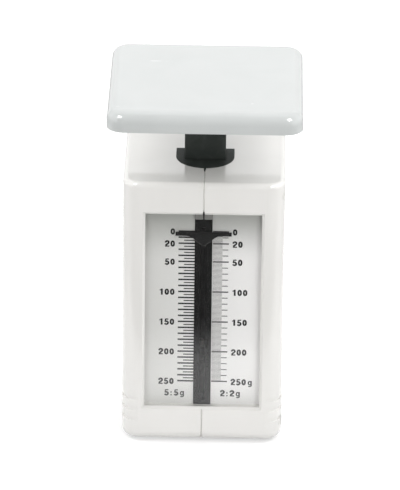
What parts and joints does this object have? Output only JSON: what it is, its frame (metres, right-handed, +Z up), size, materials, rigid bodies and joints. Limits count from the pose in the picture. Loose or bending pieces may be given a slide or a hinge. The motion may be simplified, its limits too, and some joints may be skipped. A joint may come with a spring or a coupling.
{
  "type": "analogue kitchen scale",
  "caption": "Upright letter and diet scale: a square platform on a sliding stem, in a white tower with a straight printed scale behind a window and a sliding pointer.",
  "frame": {"origin": "on the table, under the middle of the platform and the tower", "axes": "+Z up, -Y to the front where the window is, +X to the right as seen from the front"},
  "size_m": [0.108, 0.108, 0.205],
  "materials": {
    "tower_white": "moulded, polished",
    "pan_white": "moulded, polished",
    "stem_black": "moulded, fine grain",
    "collar_black": "moulded, polished",
    "rail_black": "moulded, satin",
    "pointer_black": "moulded, satin",
    "clip_grey": "moulded, satin",
    "clear_lens": "clear acrylic, polished",
    "silver_plate": "satin, printed in black",
    "rubber": "matt",
    "screw_steel": "zinc plated",
    "pin_steel": "turned",
    "spring_steel": "bright wire",
    "works_plastic": "moulded, unpainted",
    "cord": "braided",
    "knob_black": "moulded"
  },
  "bodies": {
    "housing": {"housing_left": "tower_white", "housing_right": "tower_white", "housing_screws": "screw_steel", "rubber_feet": "rubber", "window_lens": "clear_lens", "scale_plate": "silver_plate", "guide_rail": "rail_black", "rail_clips": "clip_grey", "stem_collar": "collar_black", "stem_guide": "works_plastic", "overload_buffer": "rubber", "drum_pin": "pin_steel", "wheel_pins": "pin_steel", "pointer_cord": "cord", "main_spring": "spring_steel"},
    "platform": {"pan": "pan_white", "stem": "stem_black", "stem_rack": "works_plastic", "rack_screws": "screw_steel"},
    "drum": {"drive_pinion": "works_plastic", "cord_drum": "works_plastic"},
    "upper_wheel": {"upper_cord_wheel": "works_plastic"},
    "lower_wheel": {"lower_cord_wheel": "works_plastic"},
    "pointer": {"pointer": "pointer_black", "pointer_slider": "pointer_black"},
    "zero_knob": {"zero_knob": "knob_black"},
    "zero_rod": {"zero_rod": "pin_steel"}
  },
  "joints": [
    {"name": "pan_slide", "type": "slide", "parent": "housing", "child": "platform", "axis": [0, 0, 1], "range_m": [-0.0285, 0], "stiffness_N_per_m": 88, "springref_m": 0.014, "deforming": ["main_spring"]},
    {"name": "drum_spin", "type": "hinge", "parent": "housing", "child": "drum", "pos_m": [0.0176, 0.0029, 0.08035], "axis": [1, 0, 0], "range_deg": [0, 333.3]},
    {"name": "upper_wheel_spin", "type": "hinge", "parent": "housing", "child": "upper_wheel", "pos_m": [0.0176, -0.0248, 0.1401], "axis": [1, 0, 0], "range_deg": [0, 1057.7]},
    {"name": "lower_wheel_spin", "type": "hinge", "parent": "housing", "child": "lower_wheel", "pos_m": [0.0176, -0.0248, 0.0206], "axis": [1, 0, 0], "range_deg": [0, 1057.7]},
    {"name": "pointer_slide", "type": "slide", "parent": "housing", "child": "pointer", "axis": [0, 0, 1], "range_m": [-0.09231, 0]},
    {"name": "zero_knob_turn", "type": "hinge", "parent": "housing", "child": "zero_knob", "pos_m": [0, 0.02, 0.1615], "axis": [0, 0, 1], "range_deg": [-180, 180]},
    {"name": "zero_rod_slide", "type": "slide", "parent": "housing", "child": "zero_rod", "axis": [0, 0, 1], "range_m": [-0.00025, 0.00025]}
  ],
  "couplings": [
    {"joint": "drum_spin", "follows": "pan_slide", "rad_per_m": -204.08},
    {"joint": "upper_wheel_spin", "follows": "pan_slide", "rad_per_m": -647.72},
    {"joint": "lower_wheel_spin", "follows": "pan_slide", "rad_per_m": -647.72},
    {"joint": "pointer_slide", "follows": "pan_slide", "ratio": 3.2386},
    {"joint": "zero_knob_turn", "follows": "zero_rod_slide", "rad_per_m": 12566}
  ]
}
